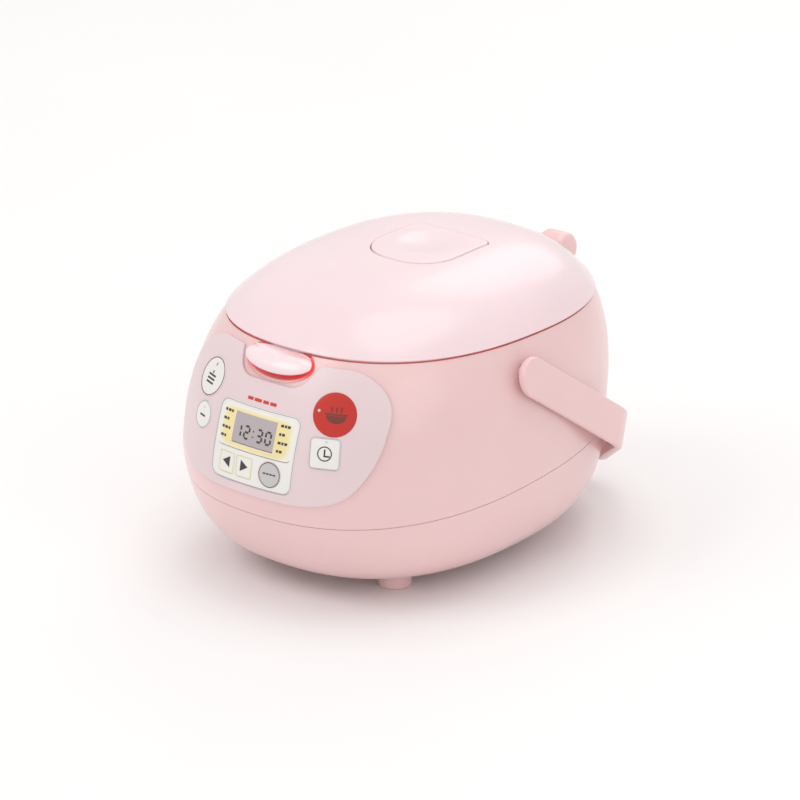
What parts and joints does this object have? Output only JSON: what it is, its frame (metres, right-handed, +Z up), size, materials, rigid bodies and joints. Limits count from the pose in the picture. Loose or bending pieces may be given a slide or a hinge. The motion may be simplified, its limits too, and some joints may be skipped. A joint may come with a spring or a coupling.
{
  "type": "rice cooker",
  "caption": "Small oval electric rice cooker with a hinged domed lid, swinging carry handle, front latch and a control panel with display.",
  "frame": {"origin": "on the surface it stands on, under the middle of its bounding box", "axes": "+Z up, -Y out of the control panel (front), +X to the right seen from the front"},
  "size_m": [0.246, 0.3012, 0.19],
  "materials": {
    "pink_shell": "glossy pale pink moulded ABS",
    "panel_plastic": "satin pale lilac pink moulded plastic",
    "white_plastic": "satin white moulded plastic",
    "red_plastic": "red moulded button cap",
    "cream_film": "cream yellow printed film",
    "silver_plastic": "silver grey moulded button cap",
    "display_lens": "clear acrylic lens over a grey display",
    "grey_plastic": "grey moulded plastic",
    "black_plastic": "black moulded plastic",
    "steel": "plain steel",
    "aluminium": "cast or pressed aluminium",
    "pot_coating": "dark grey non-stick coating on aluminium",
    "silicone": "soft silicone rubber",
    "circuit_board": "green glass-fibre circuit board"
  },
  "bodies": {
    "root": {"base_shell": "pink_shell", "body_shell": "pink_shell", "shoulder_deck": "pink_shell", "hinge_bracket": "pink_shell", "handle_pivot_left": "pink_shell", "handle_pivot_right": "pink_shell", "latch_housing": "pink_shell", "foot_1": "pink_shell", "foot_2": "pink_shell", "foot_3": "pink_shell", "foot_4": "pink_shell", "control_panel": "panel_plastic", "display_bezel": "white_plastic", "legend_plate": "cream_film", "display_window": "display_lens", "lcd_module": "grey_plastic", "transformer": "grey_plastic", "power_inlet": "black_plastic", "inner_case": "steel", "heating_element": "steel", "sensor_bracket": "steel", "sensor_spring": "steel", "hinge_pin": "steel", "hinge_spring": "steel", "latch_pin": "steel", "latch_spring": "steel", "base_screw_1": "steel", "base_screw_2": "steel", "base_screw_3": "steel", "base_screw_4": "steel", "inlet_pin_1": "steel", "inlet_pin_2": "steel", "side_heater_band": "aluminium", "heating_plate": "aluminium", "inner_pot": "pot_coating", "control_board": "circuit_board", "power_board": "circuit_board"},
    "lid": {"outer_lid": "pink_shell", "lid_liner": "white_plastic", "lid_hinge_arm": "pink_shell", "lid_catch": "steel", "inner_lid": "aluminium", "inner_lid_gasket": "silicone", "steam_well": "white_plastic"},
    "steam_cap_body": {"steam_cap": "pink_shell", "steam_cap_base": "white_plastic", "steam_gasket": "silicone"},
    "handle_body": {"handle": "pink_shell"},
    "latch": {"latch_button": "pink_shell"},
    "sensor": {"sensor_cap": "aluminium"},
    "cook_button_body": {"cook_button": "red_plastic"},
    "keep_warm_button_body": {"keep_warm_button": "white_plastic"},
    "timer_button_body": {"timer_button": "white_plastic"},
    "cancel_button_body": {"cancel_button": "white_plastic"},
    "menu_button_body": {"menu_button": "silver_plastic"},
    "hour_down_button_body": {"hour_down_button": "white_plastic"},
    "hour_up_button_body": {"hour_up_button": "white_plastic"}
  },
  "joints": [
    {"name": "lid_open", "type": "hinge", "parent": "root", "child": "lid", "pos_m": [0, 0.1375, 0.159], "axis": [-1, 0, 0], "range_deg": [0, 95]},
    {"name": "handle_swing", "type": "hinge", "parent": "root", "child": "handle_body", "pos_m": [0, -0.0102, 0.1385], "axis": [-1, 0, 0], "range_deg": [-125, 0]},
    {"name": "latch_press", "type": "hinge", "parent": "root", "child": "latch", "pos_m": [0, -0.103, 0.148], "axis": [1, 0, 0], "range_deg": [0, 6], "stiffness_Nm_per_rad": 0.8, "springref_deg": -1.72},
    {"name": "steam_cap_lift", "type": "slide", "parent": "lid", "child": "steam_cap_body", "axis": [0, 0, 1], "range_m": [0, 0.03]},
    {"name": "sensor_travel", "type": "slide", "parent": "root", "child": "sensor", "axis": [0, 0, -1], "range_m": [0, 0.002], "stiffness_N_per_m": 500, "springref_m": -0.001},
    {"name": "cook_press", "type": "slide", "parent": "root", "child": "cook_button_body", "axis": [-0.3702, 0.8218, -0.433], "range_m": [0, 0.0006], "stiffness_N_per_m": 800, "springref_m": -0.0003},
    {"name": "keep_warm_press", "type": "slide", "parent": "root", "child": "keep_warm_button_body", "axis": [0.3544, 0.8224, -0.445], "range_m": [0, 0.0006], "stiffness_N_per_m": 800, "springref_m": -0.0003},
    {"name": "timer_press", "type": "slide", "parent": "root", "child": "timer_button_body", "axis": [-0.3736, 0.8831, -0.2838], "range_m": [0, 0.0006], "stiffness_N_per_m": 800, "springref_m": -0.0003},
    {"name": "cancel_press", "type": "slide", "parent": "root", "child": "cancel_button_body", "axis": [0.3567, 0.8861, -0.2959], "range_m": [0, 0.0006], "stiffness_N_per_m": 800, "springref_m": -0.0003},
    {"name": "menu_press", "type": "slide", "parent": "root", "child": "menu_button_body", "axis": [-0.0789, 0.9753, -0.2061], "range_m": [0, 0.0006], "stiffness_N_per_m": 800, "springref_m": -0.0003},
    {"name": "hour_down_press", "type": "slide", "parent": "root", "child": "hour_down_button_body", "axis": [0.0997, 0.9735, -0.2058], "range_m": [0, 0.0006], "stiffness_N_per_m": 800, "springref_m": -0.0003},
    {"name": "hour_up_press", "type": "slide", "parent": "root", "child": "hour_up_button_body", "axis": [0.0139, 0.9783, -0.2066], "range_m": [0, 0.0006], "stiffness_N_per_m": 800, "springref_m": -0.0003}
  ]
}
